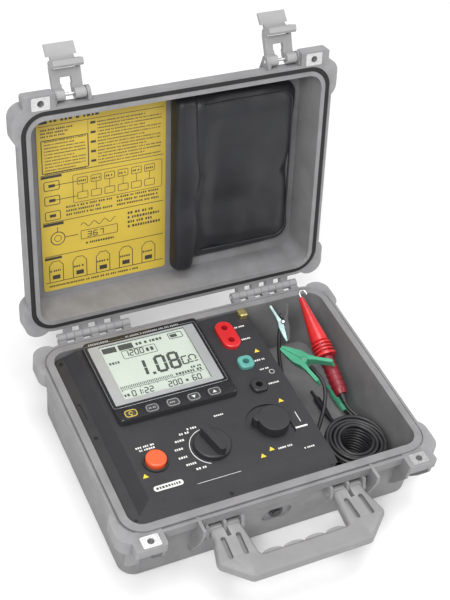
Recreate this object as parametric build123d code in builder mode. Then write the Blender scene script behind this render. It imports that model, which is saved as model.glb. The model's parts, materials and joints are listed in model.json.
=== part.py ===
from build123d import *

# Insulation resistance tester in its hard carrying case, lid open. Millimetres, +Z up, +X to the
# right and -Y to the front. The origin is the centre of the case's flat underside.
# The lid and what it carries are drawn shut and saved in the pose OPEN; the latches are drawn
# hooked under the base's rim and saved swung out.

import os
from math import radians, tan

os.makedirs("parts", exist_ok=True)

# ---------------------------------------------------------------- driving dimensions
RIM = 95.0  # height of the base's sealing rim
OPENING_X, OPENING_Y, OPENING_R = 372.6, 270.8, 18.0
FOOT_X, FOOT_Y, FOOT_R = 384.2, 275.8, 20.0
FLANGE_X, FLANGE_Y, FLANGE_R = 402.0, 300.6, 32.0
FLANGE_LOW = 80.0
BEAD_H, BEAD_W = 2.5, 9.5
FLOOR = 4.0
LID_GAP = 0.4
LID_INSIDE = 44.0  # from the lid's rim to its inner face
LID_ROOF = 3.6
LID_FLANGE_H = 14.0
HINGE_Y, HINGE_Z = 160.8, 92.2
HINGE_SPAN = (72.0, 168.0)
KNUCKLES = 9
KNUCKLE_R, PIN_R, RUN = 5.5, 2.0, 0.05
LID_ANGLE = 101.9
PADLOCK_X, PADLOCK_Y, PADLOCK_R = 173.0, 156.7, 4.0
PLATE_T = 1.5
LATCH_X, LATCH_HALF = 134.5, 18.0
LATCH_Y, LATCH_Z, LATCH_SWING = -158.0, 107.0, 110.0
LEVER_Y, LEVER_Z = -165.5, 72.0
HANDLE_Y, HANDLE_Z = -151.0, 66.0
PANEL_X0, PANEL_X1, PANEL_Y0, PANEL_Y1 = -184.0, 79.0, -132.5, 133.0
DECK_Z, PANEL_Z, BEZEL_Z = 88.0, 97.0, 106.0
KEY_X = [-131.6 + 27.05 * i for i in range(5)]
KEY_Y = 8.0
RED_XY = [(35.0, 104.5), (35.0, 82.7)]
GREEN_XY, BLACK_XY = (37.2, 44.4), (36.2, 4.3)
SOCKETS = RED_XY + [GREEN_XY, BLACK_XY]
BUTTON_XY, BUTTON_R = (-128.0, -61.0), 12.5
KEY_W, KEY_D, KEY_CORNER, KEY_GAP = 18.0, 13.0, 4.7, 0.3
KNOB_XY, KNOB_R = (-56.5, -60.5), 22.5
DIAL_XY, DIAL_R = (26.5, -54.0), 19.5
LEAD_D = 5.0

HINGE = Location((0, HINGE_Y, HINGE_Z))
OPEN = HINGE * Location((0, 0, 0), (-LID_ANGLE, 0, 0)) * HINGE.inverse()
LID_Z0 = RIM + LID_GAP
LID_FLOOR = LID_Z0 + LID_INSIDE
SIDES = (-1, 1)


def save(builder, name, pose=Location()):
    """Labels a finished piece and writes it in its rest pose."""
    piece = builder.part.moved(pose)
    piece.label = name
    export_step(piece, f"parts/{name}.step")


def swung(y, z, angle):
    """The pose of a piece that is drawn shut and has swung out about an axis along X."""
    axis = Location((0, y, z))
    return axis * Location((0, 0, 0), (-angle, 0, 0)) * axis.inverse()


def knuckle_centres(first):
    """Centres along X of every second knuckle of both hinge groups."""
    low, high = HINGE_SPAN
    pitch = (high - low) / KNUCKLES
    return [s * (low + (i + 0.5) * pitch) for s in SIDES for i in range(first, KNUCKLES, 2)]


KNUCKLE_W = (HINGE_SPAN[1] - HINGE_SPAN[0]) / KNUCKLES - 0.4

# ---------------------------------------------------------------- case base
with BuildPart() as base_shell:
    with BuildSketch():
        RectangleRounded(FOOT_X, FOOT_Y, FOOT_R)
    with BuildSketch(Plane.XY.offset(FLANGE_LOW)):
        RectangleRounded(FLANGE_X - 10, FLANGE_Y - 15, FLANGE_R - 6)
    loft()
    fillet(base_shell.faces().sort_by(Axis.Z)[0].edges(), 4)
    with BuildSketch(Plane.XY.offset(FLANGE_LOW)):
        RectangleRounded(FLANGE_X, FLANGE_Y, FLANGE_R)
    extrude(amount=RIM - BEAD_H - FLANGE_LOW)
    # bumpers round the four corners of the rim
    with BuildSketch(Plane.XY.offset(FLANGE_LOW - 8)):
        for sx in SIDES:
            for sy in SIDES:
                with Locations((sx * 189.5, sy * 128)):
                    RectangleRounded(35, 51, 17)
    extrude(amount=RIM - BEAD_H - FLANGE_LOW + 8)
    # raised sealing bead
    with BuildSketch(Plane.XY.offset(RIM - BEAD_H - 1)):
        RectangleRounded(OPENING_X + 2 * BEAD_W, OPENING_Y + 2 * BEAD_W, OPENING_R + BEAD_W)
    extrude(amount=BEAD_H + 1)
    fillet(base_shell.faces().sort_by(Axis.Z)[-1].edges(), 1.2)
    # groove between the bead and the outer band of the rim
    with BuildSketch(Plane.XY.offset(RIM - BEAD_H)):
        RectangleRounded(OPENING_X + 2 * BEAD_W + 4, OPENING_Y + 2 * BEAD_W + 4, OPENING_R + BEAD_W + 2)
        RectangleRounded(
            OPENING_X + 2 * BEAD_W, OPENING_Y + 2 * BEAD_W, OPENING_R + BEAD_W, mode=Mode.SUBTRACT
        )
    extrude(amount=-1.6, mode=Mode.SUBTRACT)
    # padlock blocks on the front corners, each with a gusset below it
    with BuildSketch(Plane.XY.offset(FLANGE_LOW)):
        for s in SIDES:
            with Locations((s * 174.5, -153.5)):
                RectangleRounded(38, 27, 3)
    extrude(amount=RIM - BEAD_H - FLANGE_LOW)
    for x in (-192.0, -160.0, 156.0, 188.0):
        with BuildSketch(Plane.YZ.offset(x)):
            Polygon((-137, 84), (-164, 84), (-163, 66), (-150, 44), (-137, 26), align=None)
    extrude(amount=4)
    # guard fins beside the latches
    for x in (-114.0, 110.0):
        with BuildSketch(Plane.YZ.offset(x)):
            Polygon(
                (-137, 92.5), (-166, 92.5), (-167, 84), (-160, 60), (-146, 30), (-137, 22), align=None
            )
    extrude(amount=4)
    # lugs of the carrying handle
    for x in (-104.0, -82.0, -60.0, 56.0, 78.0, 100.0):
        with BuildSketch(Plane.YZ.offset(x)):
            with Locations((HANDLE_Y, HANDLE_Z)):
                Circle(7.5)
            Polygon(
                (-136, 80), (-154, 80), (HANDLE_Y - 7.4, HANDLE_Z), (-150, 58.6), (-136, 54), align=None
            )
    extrude(amount=4)
    with BuildSketch(Plane.YZ.offset(-110)):
        with Locations((HANDLE_Y, HANDLE_Z)):
            Circle(3.0 + RUN)
    extrude(amount=220, mode=Mode.SUBTRACT)
    # hinge knuckles with their arms
    for x in knuckle_centres(0):
        with BuildSketch(Plane.YZ.offset(x - KNUCKLE_W / 2)):
            with Locations((HINGE_Y, HINGE_Z)):
                Circle(KNUCKLE_R)
            Polygon(
                (146, 92), (HINGE_Y, 92), (HINGE_Y + 5.2, 90.3), (HINGE_Y, 86), (146, 78), align=None
            )
        extrude(amount=KNUCKLE_W)
    with BuildSketch(Plane.YZ.offset(-180)):
        with Locations((HINGE_Y, HINGE_Z)):
            Circle(PIN_R + RUN)
    extrude(amount=360, mode=Mode.SUBTRACT)
    # the hollow
    with BuildSketch(Plane.XY.offset(FLOOR)):
        RectangleRounded(OPENING_X - 7, OPENING_Y - 7, OPENING_R - 3)
    with BuildSketch(Plane.XY.offset(RIM)):
        RectangleRounded(OPENING_X, OPENING_Y, OPENING_R)
    loft(mode=Mode.SUBTRACT)
    # padlock holes and the recesses of their plates
    with BuildSketch(Plane.XY.offset(FLANGE_LOW - 20)):
        with Locations((PADLOCK_X, -PADLOCK_Y), (-PADLOCK_X, -PADLOCK_Y)):
            Circle(PADLOCK_R)
    extrude(amount=40, mode=Mode.SUBTRACT)
    with BuildSketch(Plane.XY.offset(RIM - BEAD_H)):
        with Locations((PADLOCK_X, -PADLOCK_Y), (-PADLOCK_X, -PADLOCK_Y)):
            RectangleRounded(22, 16, 2)
    extrude(amount=-PLATE_T, mode=Mode.SUBTRACT)
    # recess of the pressure valve
    with BuildSketch(Plane.XZ.offset(137.2)):
        with Locations((-2, 43)):
            RectangleRounded(38, 22, 9)
    extrude(amount=10, mode=Mode.SUBTRACT)
save(base_shell, "base_shell")

with BuildPart() as padlock_plates_base:
    with BuildSketch(Plane.XY.offset(RIM - BEAD_H - PLATE_T)):
        with Locations((PADLOCK_X, -PADLOCK_Y), (-PADLOCK_X, -PADLOCK_Y)):
            RectangleRounded(21.8, 15.8, 1.9)
        with Locations((PADLOCK_X, -PADLOCK_Y), (-PADLOCK_X, -PADLOCK_Y)):
            Circle(PADLOCK_R, mode=Mode.SUBTRACT)
    extrude(amount=PLATE_T)
save(padlock_plates_base, "padlock_plates_base")

with BuildPart() as pressure_valve:
    with BuildSketch(Plane.XZ.offset(137.2)):
        with Locations((-2, 43)):
            Circle(8.5)
    extrude(amount=2)
    with BuildSketch(Plane.XZ.offset(139.2)):
        with Locations((-2, 43)):
            RegularPolygon(5.2, 6)
    extrude(amount=1.6)
save(pressure_valve, "pressure_valve")

with BuildPart() as hinge_pins:
    for s in SIDES:
        middle = s * (HINGE_SPAN[0] + HINGE_SPAN[1]) / 2
        length = HINGE_SPAN[1] - HINGE_SPAN[0] + 1
        with BuildSketch(Plane.YZ.offset(middle - length / 2)):
            with Locations((HINGE_Y, HINGE_Z)):
                Circle(PIN_R)
        extrude(amount=length)
save(hinge_pins, "hinge_pins")

# ---------------------------------------------------------------- carrying handle
LEG_IN, LEG_ROOT, LEG_OUT, GRIP_Y = 60.8, 99.2, 108.0, -227.0
with BuildPart() as carry_handle:
    with BuildSketch(Plane.XY.offset(HANDLE_Z - 7)):
        with BuildLine():
            FilletPolyline(
                (-LEG_ROOT, HANDLE_Y),
                (-LEG_ROOT, HANDLE_Y - 16),
                (-LEG_OUT, -198),
                (-76, GRIP_Y),
                (76, GRIP_Y),
                (LEG_OUT, -198),
                (LEG_ROOT, HANDLE_Y - 16),
                (LEG_ROOT, HANDLE_Y),
                radius=9,
            )
            FilletPolyline(
                (LEG_ROOT, HANDLE_Y),
                (LEG_IN, HANDLE_Y),
                (LEG_IN - 4, -201),
                (-LEG_IN + 4, -201),
                (-LEG_IN, HANDLE_Y),
                (-LEG_ROOT, HANDLE_Y),
                radius=5,
            )
        make_face()
    extrude(amount=14)
    fillet(carry_handle.faces().filter_by(Axis.Z).edges().filter_by_position(Axis.Y, -240, -170), 4)
    # scalloped finger rest along the inner side of the grip
    with BuildSketch(Plane.XY.offset(HANDLE_Z - 5.5)):
        for i in range(4):
            with Locations((-40.5 + 27 * i, -202)):
                Ellipse(14.5, 6.5)
    extrude(amount=7)
    # rounded ends that turn on the pins
    for x in (-LEG_ROOT, LEG_IN):
        with BuildSketch(Plane.YZ.offset(x)):
            with Locations((HANDLE_Y, HANDLE_Z)):
                Circle(7)
    extrude(amount=LEG_ROOT - LEG_IN)
    # slots down each leg, and gaps round the middle lugs
    for face, way in ((HANDLE_Z + 7, -1), (HANDLE_Z - 7, 1)):
        with BuildSketch(Plane.XY.offset(face)):
            for s in SIDES:
                with Locations((s * 71, -182), (s * 90, -182)):
                    SlotOverall(30, 6, rotation=90 + s * 4)
        extrude(amount=way * 5.5, mode=Mode.SUBTRACT)
    with BuildSketch(Plane.XY.offset(HANDLE_Z - 10)):
        with Locations((-80, -151), (80, -151)):
            Rectangle(5, 34)
    extrude(amount=20, mode=Mode.SUBTRACT)
    with BuildSketch(Plane.YZ.offset(-110)):
        with Locations((HANDLE_Y, HANDLE_Z)):
            Circle(3.0 + RUN)
    extrude(amount=220, mode=Mode.SUBTRACT)
save(carry_handle, "carry_handle")

with BuildPart() as handle_pins:
    for x in (-104.5, 55.5):
        with BuildSketch(Plane.YZ.offset(x)):
            with Locations((HANDLE_Y, HANDLE_Z)):
                Circle(3.0)
        extrude(amount=49)
save(handle_pins, "handle_pins")

# ---------------------------------------------------------------- instrument
HOUSING_FLOOR = 4.2
with BuildPart() as instrument_housing:
    with BuildSketch(Plane.XY.offset(HOUSING_FLOOR)):
        with Locations((-51, 0)):
            RectangleRounded(254, 254, 12)
    with BuildSketch(Plane.XY.offset(DECK_Z - 3)):
        with Locations(((PANEL_X0 + PANEL_X1) / 2, 0)):
            RectangleRounded(PANEL_X1 - PANEL_X0, 264, 14)
    loft()
    with BuildSketch(Plane.XY.offset(HOUSING_FLOOR + 3)):
        with Locations((-51, 0)):
            RectangleRounded(248, 248, 9)
    with BuildSketch(Plane.XY.offset(DECK_Z - 3)):
        with Locations(((PANEL_X0 + PANEL_X1) / 2, 0)):
            RectangleRounded(PANEL_X1 - PANEL_X0 - 6, 258, 11)
    loft(mode=Mode.SUBTRACT)
save(instrument_housing, "instrument_housing")

SCREWS = [(-177, -124), (-177, 122), (-60, -126), (70, -126), (70, 124), (-177, 0)]
with BuildPart() as instrument_panel:
    with BuildSketch(Plane.XY.offset(DECK_Z - 3)):
        with Locations(((PANEL_X0 + PANEL_X1) / 2, 0)):
            RectangleRounded(PANEL_X1 - PANEL_X0, 265, 14)
    extrude(amount=3)
    # the raised panel, with sloping front and left sides and a step towards the right
    with BuildSketch(Plane.XY.offset(DECK_Z)):
        Polygon((-171, -120), (79, -127), (79, 132), (-171, 132), align=None)
    with BuildSketch(Plane.XY.offset(PANEL_Z)):
        Polygon((-155, -107), (76, -114), (76, 130), (-155, 130), align=None)
    loft()
    # the display's plinth
    with BuildSketch(Plane.XY.offset(PANEL_Z - 1)):
        with Locations((-71, 65.5)):
            RectangleRounded(155, 133, 6)
    with BuildSketch(Plane.XY.offset(BEZEL_Z - 1.6)):
        with Locations((-71, 65.5)):
            RectangleRounded(152, 131, 5)
    loft()
    # hollow behind the panel
    with BuildSketch(Plane.XY.offset(DECK_Z - 3)):
        with Locations((-42, 5)):
            RectangleRounded(230, 226, 6)
    extrude(amount=PANEL_Z - DECK_Z, mode=Mode.SUBTRACT)
    with BuildSketch(Plane.XY.offset(PANEL_Z - 3)):
        with Locations((-71, 68)):
            RectangleRounded(136, 107, 4)
    extrude(amount=20, mode=Mode.SUBTRACT)
    # holes of the keys, terminals, button, knob and dial
    with BuildSketch(Plane.XY.offset(DECK_Z - 4)):
        with Locations(*[(x, KEY_Y) for x in KEY_X]):
            RectangleRounded(KEY_W + 2 * KEY_GAP, KEY_D + 2 * KEY_GAP, KEY_CORNER + KEY_GAP)
        with Locations((RED_XY[0][0], 93.6)):
            SlotCenterToCenter(21.8, 24.2, rotation=90)
        with Locations(GREEN_XY, BLACK_XY):
            RectangleRounded(20.2, 20.2, 7)
        with Locations(BUTTON_XY):
            Circle(BUTTON_R + 0.6)
        with Locations(KNOB_XY):
            Circle(4.5)
        with Locations(DIAL_XY):
            Circle(5.5)
    extrude(amount=24, mode=Mode.SUBTRACT)
    # the round well in which the cover dial turns
    with BuildSketch(Plane.XY.offset(PANEL_Z)):
        with Locations((DIAL_XY[0] - 2, DIAL_XY[1])):
            Circle(31)
        with Locations((64, -40)):
            Rectangle(30, 90, mode=Mode.SUBTRACT)
    extrude(amount=-2.4, mode=Mode.SUBTRACT)
    # long groove and finger recess on the left deck
    with BuildSketch(Plane.XY.offset(DECK_Z)):
        with Locations((-179, 42)):
            SlotOverall(26, 5, rotation=90)
    extrude(amount=-1.5, mode=Mode.SUBTRACT)
    with BuildSketch(Plane.XY.offset(DECK_Z)):
        with Locations(*SCREWS):
            Circle(3.1)
    extrude(amount=-1.2, mode=Mode.SUBTRACT)
save(instrument_panel, "instrument_panel")

with BuildPart() as panel_screws:
    with BuildSketch(Plane.XY.offset(DECK_Z - 1.2)):
        with Locations(*SCREWS):
            Circle(3.0)
            Rectangle(4.4, 0.9, mode=Mode.SUBTRACT)
            Rectangle(0.9, 4.4, mode=Mode.SUBTRACT)
    extrude(amount=1.2)
save(panel_screws, "panel_screws")

with BuildPart() as panel_catch:
    with BuildSketch(Plane.XY.offset(PANEL_Z)):
        with Locations((69, 122)):
            RectangleRounded(11, 13, 3)
    extrude(amount=7)
    fillet(panel_catch.faces().sort_by(Axis.Z)[-1].edges(), 2)
    with BuildSketch(Plane.YZ.offset(60)):
        with Locations((122, PANEL_Z + 4.2)):
            Circle(1.4)
    extrude(amount=20, mode=Mode.SUBTRACT)
save(panel_catch, "panel_catch")

FRAME_X0, FRAME_X1, FRAME_Y0, FRAME_Y1 = -144.2, -3.2, 23.5, 121.0
GLASS_X0, GLASS_X1, GLASS_Y0, GLASS_Y1 = -130.8, -16.5, 30.0, 118.5
FRAME_XY = ((FRAME_X0 + FRAME_X1) / 2, (FRAME_Y0 + FRAME_Y1) / 2)
GLASS_XY = ((GLASS_X0 + GLASS_X1) / 2, (GLASS_Y0 + GLASS_Y1) / 2)
with BuildPart() as display_bezel:
    with BuildSketch(Plane.XY.offset(BEZEL_Z - 1.6)):
        with Locations((-71, 65.5)):
            RectangleRounded(151, 130, 5)
        with Locations(GLASS_XY):
            Rectangle(GLASS_X1 - GLASS_X0, GLASS_Y1 - GLASS_Y0, mode=Mode.SUBTRACT)
        with Locations(*[(x, KEY_Y) for x in KEY_X]):
            RectangleRounded(
                KEY_W + 2 * KEY_GAP, KEY_D + 2 * KEY_GAP, KEY_CORNER + KEY_GAP, mode=Mode.SUBTRACT
            )
    extrude(amount=1.6)
    chamfer(display_bezel.faces().sort_by(Axis.Z)[-1].outer_wire().edges(), 0.6)
save(display_bezel, "display_bezel")

with BuildPart() as display_frame:
    with BuildSketch(Plane.XY.offset(BEZEL_Z)):
        with Locations(FRAME_XY):
            RectangleRounded(FRAME_X1 - FRAME_X0, FRAME_Y1 - FRAME_Y0, 2)
        with Locations(GLASS_XY):
            Rectangle(GLASS_X1 - GLASS_X0, GLASS_Y1 - GLASS_Y0, mode=Mode.SUBTRACT)
    extrude(amount=1.0)
    chamfer(display_frame.faces().sort_by(Axis.Z)[-1].edges(), 0.4)
save(display_frame, "display_frame")

for name, low, thickness, margin in (
    ("lcd_glass", BEZEL_Z - 1.6, 1.6, 0.1),
    ("lcd_module", BEZEL_Z - 8.6, 7.0, -3.0),
):
    with BuildPart() as screen:
        with BuildSketch(Plane.XY.offset(low)):
            with Locations(GLASS_XY):
                Rectangle(GLASS_X1 - GLASS_X0 - 2 * margin, GLASS_Y1 - GLASS_Y0 - 2 * margin)
        extrude(amount=thickness)
    save(screen, name)

# rubber keys: a cap that stands in the bezel on a plunger
for number, x in enumerate(KEY_X, 1):
    with BuildPart() as key:
        with BuildSketch(Plane.XY.offset(BEZEL_Z - 1.4)):
            with Locations((x, KEY_Y)):
                RectangleRounded(KEY_W, KEY_D, KEY_CORNER)
        extrude(amount=2.4)
        fillet(key.faces().sort_by(Axis.Z)[-1].edges(), 0.8)
        with BuildSketch(Plane.XY.offset(PANEL_Z - 4)):
            with Locations((x, KEY_Y)):
                RectangleRounded(12, 8, 3)
        extrude(amount=BEZEL_Z - 1.4 - PANEL_Z + 4)
    save(key, f"key_{number}")

# terminals: an insulating body round a plug socket
SOCKET_LOW, SOCKET_HOLE = 84.0, 4.3


def terminal(name, centres, top, draw):
    """An insulated terminal that stands up from the panel, with its plug holes."""
    with BuildPart() as body:
        with BuildSketch(Plane.XY.offset(SOCKET_LOW - 12)):
            draw()
        extrude(amount=top - SOCKET_LOW + 12)
        fillet(body.faces().sort_by(Axis.Z)[-1].edges(), 2)
        with BuildSketch(Plane.XY.offset(SOCKET_LOW)):
            with Locations(*centres):
                Circle(SOCKET_HOLE)
        extrude(amount=30, mode=Mode.SUBTRACT)
        with BuildSketch(Plane.XY.offset(SOCKET_LOW - 11)):
            with Locations(*centres):
                Circle(3.0)
        extrude(amount=11, mode=Mode.SUBTRACT)
    save(body, name)


def draw_red():
    """The outline shared by the two line sockets."""
    with Locations((RED_XY[0][0], 93.6)):
        SlotCenterToCenter(21.8, 24, rotation=90)


def square_at(place):
    """The rounded-square outline of a single terminal."""
    with Locations(place):
        RectangleRounded(20, 20, 7)


terminal("terminal_red", RED_XY, PANEL_Z + 5.5, draw_red)
terminal("terminal_green", [GREEN_XY], PANEL_Z + 5, lambda: square_at(GREEN_XY))
terminal("terminal_black", [BLACK_XY], PANEL_Z + 5, lambda: square_at(BLACK_XY))

with BuildPart() as terminal_sockets:
    with BuildSketch(Plane.XY.offset(SOCKET_LOW - 11)):
        with Locations(*SOCKETS):
            Circle(3.0)
    extrude(amount=11)
    with BuildSketch(Plane.XY.offset(SOCKET_LOW - 10)):
        with Locations(*SOCKETS):
            Circle(2.0)
    extrude(amount=10, mode=Mode.SUBTRACT)
save(terminal_sockets, "terminal_sockets")

with BuildPart() as button_collar:
    with BuildSketch(Plane.XY.offset(PANEL_Z)):
        with Locations(BUTTON_XY):
            Circle(BUTTON_R + 3)
        with Locations(BUTTON_XY):
            Circle(BUTTON_R + 0.4, mode=Mode.SUBTRACT)
    extrude(amount=2.6)
    fillet(button_collar.faces().sort_by(Axis.Z)[-1].edges(), 0.9)
save(button_collar, "button_collar")

with BuildPart() as test_button:
    with BuildSketch(Plane.XY.offset(PANEL_Z - 8)):
        with Locations(BUTTON_XY):
            Circle(BUTTON_R)
    extrude(amount=16.5)
    fillet(test_button.faces().sort_by(Axis.Z)[-1].edges(), 2.2)
save(test_button, "test_button")

KNOB_LOW = PANEL_Z + 0.4
with BuildPart() as rotary_knob:
    with BuildSketch(Plane.XY.offset(KNOB_LOW)):
        with Locations(KNOB_XY):
            Circle(KNOB_R)
    extrude(amount=6)
    fillet(rotary_knob.faces().sort_by(Axis.Z)[-1].edges(), 2)
    with BuildSketch(Plane.XY.offset(KNOB_LOW + 5)):
        with Locations(KNOB_XY):
            SlotOverall(2 * KNOB_R - 1, 13, rotation=104)
    with BuildSketch(Plane.XY.offset(KNOB_LOW + 16)):
        with Locations(KNOB_XY):
            SlotOverall(2 * KNOB_R - 3, 8.5, rotation=104)
    loft()
    # shaft down into the rotary switch
    with BuildSketch(Plane.XY.offset(PANEL_Z - 20)):
        with Locations(KNOB_XY):
            Circle(3.0)
    extrude(amount=20.6)
save(rotary_knob, "rotary_knob")

with BuildPart() as rotary_switch:
    with BuildSketch(Plane.XY.offset(PANEL_Z - 22)):
        with Locations(KNOB_XY):
            Circle(14)
    extrude(amount=10)
    with BuildSketch(Plane.XY.offset(PANEL_Z - 12)):
        with Locations(KNOB_XY):
            Circle(6)
    extrude(amount=8)
    with BuildSketch(Plane.XY.offset(PANEL_Z - 20.3)):
        with Locations(KNOB_XY):
            Circle(3.0 + RUN)
    extrude(amount=30, mode=Mode.SUBTRACT)
save(rotary_switch, "rotary_switch")

# turning cover beside the knob: a flat-topped dial on a spindle
DIAL_LOW = PANEL_Z - 2.0
with BuildPart() as cover_dial:
    with BuildSketch(Plane.XY.offset(DIAL_LOW)):
        with Locations(DIAL_XY):
            Circle(DIAL_R)
        with Locations((DIAL_XY[0] - DIAL_R + 1, DIAL_XY[1] + 7)):
            Circle(6)
    extrude(amount=14)
    fillet(cover_dial.faces().sort_by(Axis.Z)[-1].edges(), 1.2)
    with BuildSketch(Plane.XY.offset(PANEL_Z - 14)):
        with Locations(DIAL_XY):
            Circle(5.5 - RUN)
    extrude(amount=12.1)
save(cover_dial, "cover_dial")

with BuildPart() as main_board:
    with BuildSketch(Plane.XY.offset(62)):
        with Locations((-52, 0)):
            Rectangle(232, 236)
    extrude(amount=1.6)
    with BuildSketch(Plane.XY.offset(63.6)):
        with Locations((-110, 60), (-60, 60), (-20, 40)):
            Rectangle(22, 22)
        with Locations((-130, -40), (-90, -90), (40, -60)):
            Rectangle(14, 20)
    extrude(amount=3)
save(main_board, "main_board")

with BuildPart() as high_voltage_module:
    with BuildSketch(Plane.XY.offset(HOUSING_FLOOR + 3)):
        with Locations((-5, 70)):
            RectangleRounded(120, 90, 4)
    extrude(amount=46)
save(high_voltage_module, "high_voltage_module")

with BuildPart() as battery_pack:
    for i in range(8):
        with BuildSketch(Plane.XZ.offset(100)):
            with Locations((-150 + 27.5 * i, HOUSING_FLOOR + 17)):
                Circle(13.1)
        extrude(amount=-52)
    with BuildSketch(Plane.XY.offset(HOUSING_FLOOR + 3)):
        with Locations((-53.5, -74)):
            Rectangle(212, 56)
    extrude(amount=14)
save(battery_pack, "battery_pack")

# ---------------------------------------------------------------- lid, drawn shut
with BuildPart() as lid_shell:
    with BuildSketch(Plane.XY.offset(LID_Z0 + LID_FLANGE_H - 2)):
        RectangleRounded(FLANGE_X - 16, FLANGE_Y - 16, FLANGE_R - 6)
    with BuildSketch(Plane.XY.offset(LID_FLOOR + LID_ROOF)):
        RectangleRounded(FOOT_X - 12, FOOT_Y - 9, FOOT_R + 2)
    loft()
    fillet(lid_shell.faces().sort_by(Axis.Z)[-1].edges(), 6)
    with BuildSketch(Plane.XY.offset(LID_Z0)):
        RectangleRounded(FLANGE_X, FLANGE_Y, FLANGE_R)
    extrude(amount=LID_FLANGE_H)
    # corner bumpers
    with BuildSketch(Plane.XY.offset(LID_Z0)):
        for sx in SIDES:
            for sy in SIDES:
                with Locations((sx * 189.5, sy * 128)):
                    RectangleRounded(35, 51, 17)
    extrude(amount=LID_FLANGE_H + 8)
    # padlock blocks
    with BuildSketch(Plane.XY.offset(LID_Z0)):
        for s in SIDES:
            with Locations((s * 174.5, -153.5)):
                RectangleRounded(38, 27, 3)
    extrude(amount=LID_FLANGE_H)
    # ears that hold the latches
    for x in (LATCH_X - 23.0, LATCH_X + 18.6, -LATCH_X - 23.0, -LATCH_X + 18.6):
        with BuildSketch(Plane.YZ.offset(x)):
            with Locations((LATCH_Y, LATCH_Z)):
                Circle(7.5)
            Polygon(
                (-145, LID_Z0 + 2), (-157, LID_Z0 + 2), (LATCH_Y, LATCH_Z + 7.5), (-138, 124), align=None
            )
    extrude(amount=4.4)
    # ribs across the top
    with BuildSketch(Plane.XY.offset(LID_FLOOR + LID_ROOF - 1)):
        with Locations((-105, 0), (0, 0), (105, 0)):
            RectangleRounded(26, 210, 8)
    extrude(amount=3)
    # hinge knuckles with their arms
    for x in knuckle_centres(1):
        with BuildSketch(Plane.YZ.offset(x - KNUCKLE_W / 2)):
            with Locations((HINGE_Y, HINGE_Z)):
                Circle(KNUCKLE_R)
            Polygon(
                (146, LID_Z0), (152, LID_Z0), (HINGE_Y - 4.6, HINGE_Z + 3), (HINGE_Y + 5.3, HINGE_Z + 1.4),
                (HINGE_Y + 1, 102), (146, LID_Z0 + LID_FLANGE_H - 2), align=None
            )
        extrude(amount=KNUCKLE_W)
    with BuildSketch(Plane.YZ.offset(-180)):
        with Locations((HINGE_Y, HINGE_Z)):
            Circle(PIN_R + RUN)
    extrude(amount=360, mode=Mode.SUBTRACT)
    with BuildSketch(Plane.YZ.offset(-180)):
        with Locations((LATCH_Y, LATCH_Z)):
            Circle(PIN_R)
    extrude(amount=360, mode=Mode.SUBTRACT)
    # the hollow and the gasket's groove
    with BuildSketch(Plane.XY.offset(LID_Z0)):
        RectangleRounded(OPENING_X, OPENING_Y, OPENING_R)
    with BuildSketch(Plane.XY.offset(LID_FLOOR)):
        RectangleRounded(OPENING_X - 12, OPENING_Y - 12, OPENING_R - 4)
    loft(mode=Mode.SUBTRACT)
    with BuildSketch(Plane.XY.offset(LID_Z0)):
        RectangleRounded(OPENING_X + 23, OPENING_Y + 23, OPENING_R + 11.5)
        RectangleRounded(OPENING_X + 11, OPENING_Y + 11, OPENING_R + 5.5, mode=Mode.SUBTRACT)
    extrude(amount=5, mode=Mode.SUBTRACT)
    with BuildSketch(Plane.XY.offset(LID_Z0)):
        with Locations((PADLOCK_X, -PADLOCK_Y), (-PADLOCK_X, -PADLOCK_Y)):
            Circle(PADLOCK_R)
    extrude(amount=40, mode=Mode.SUBTRACT)
    with BuildSketch(Plane.XY.offset(LID_Z0)):
        with Locations((PADLOCK_X, -PADLOCK_Y), (-PADLOCK_X, -PADLOCK_Y)):
            RectangleRounded(22, 16, 2)
    extrude(amount=PLATE_T, mode=Mode.SUBTRACT)
save(lid_shell, "lid_shell", OPEN)

with BuildPart() as lid_gasket:
    with BuildSketch(Plane.XY.offset(LID_Z0 + 0.6)):
        RectangleRounded(OPENING_X + 22.6, OPENING_Y + 22.6, OPENING_R + 11.3)
        RectangleRounded(OPENING_X + 11.4, OPENING_Y + 11.4, OPENING_R + 5.7, mode=Mode.SUBTRACT)
    extrude(amount=4.4)
    fillet(lid_gasket.faces().sort_by(Axis.Z)[0].edges(), 1.6)
save(lid_gasket, "lid_gasket", OPEN)

with BuildPart() as padlock_plates_lid:
    with BuildSketch(Plane.XY.offset(LID_Z0)):
        with Locations((PADLOCK_X, -PADLOCK_Y), (-PADLOCK_X, -PADLOCK_Y)):
            RectangleRounded(21.8, 15.8, 1.9)
        with Locations((PADLOCK_X, -PADLOCK_Y), (-PADLOCK_X, -PADLOCK_Y)):
            Circle(PADLOCK_R, mode=Mode.SUBTRACT)
    extrude(amount=PLATE_T)
save(padlock_plates_lid, "padlock_plates_lid", OPEN)

with BuildPart() as instruction_label:
    with BuildSketch(Plane.XY.offset(LID_FLOOR - 1.0)):
        with Locations((-85, -1)):
            RectangleRounded(164, 242, 4)
    extrude(amount=1.0)
save(instruction_label, "instruction_label", OPEN)

POUCH_FRONT = 110.0  # how low the shut lid's pouch hangs
with BuildPart() as pouch:
    with BuildSketch(Plane.XY.offset(LID_FLOOR)):
        with Locations((92, -3)):
            RectangleRounded(160, 244, 22)
    with BuildSketch(Plane.XY.offset(POUCH_FRONT + 5)):
        with Locations((91, -7)):
            RectangleRounded(134, 206, 18)
    loft()
    with BuildSketch(Plane.XY.offset(LID_FLOOR)):
        with Locations((19, 0)):
            RectangleRounded(38, 250, 12)
    with BuildSketch(Plane.XY.offset(POUCH_FRONT)):
        with Locations((19, -1)):
            RectangleRounded(30, 236, 11)
    loft()
save(pouch, "pouch", OPEN)

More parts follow.
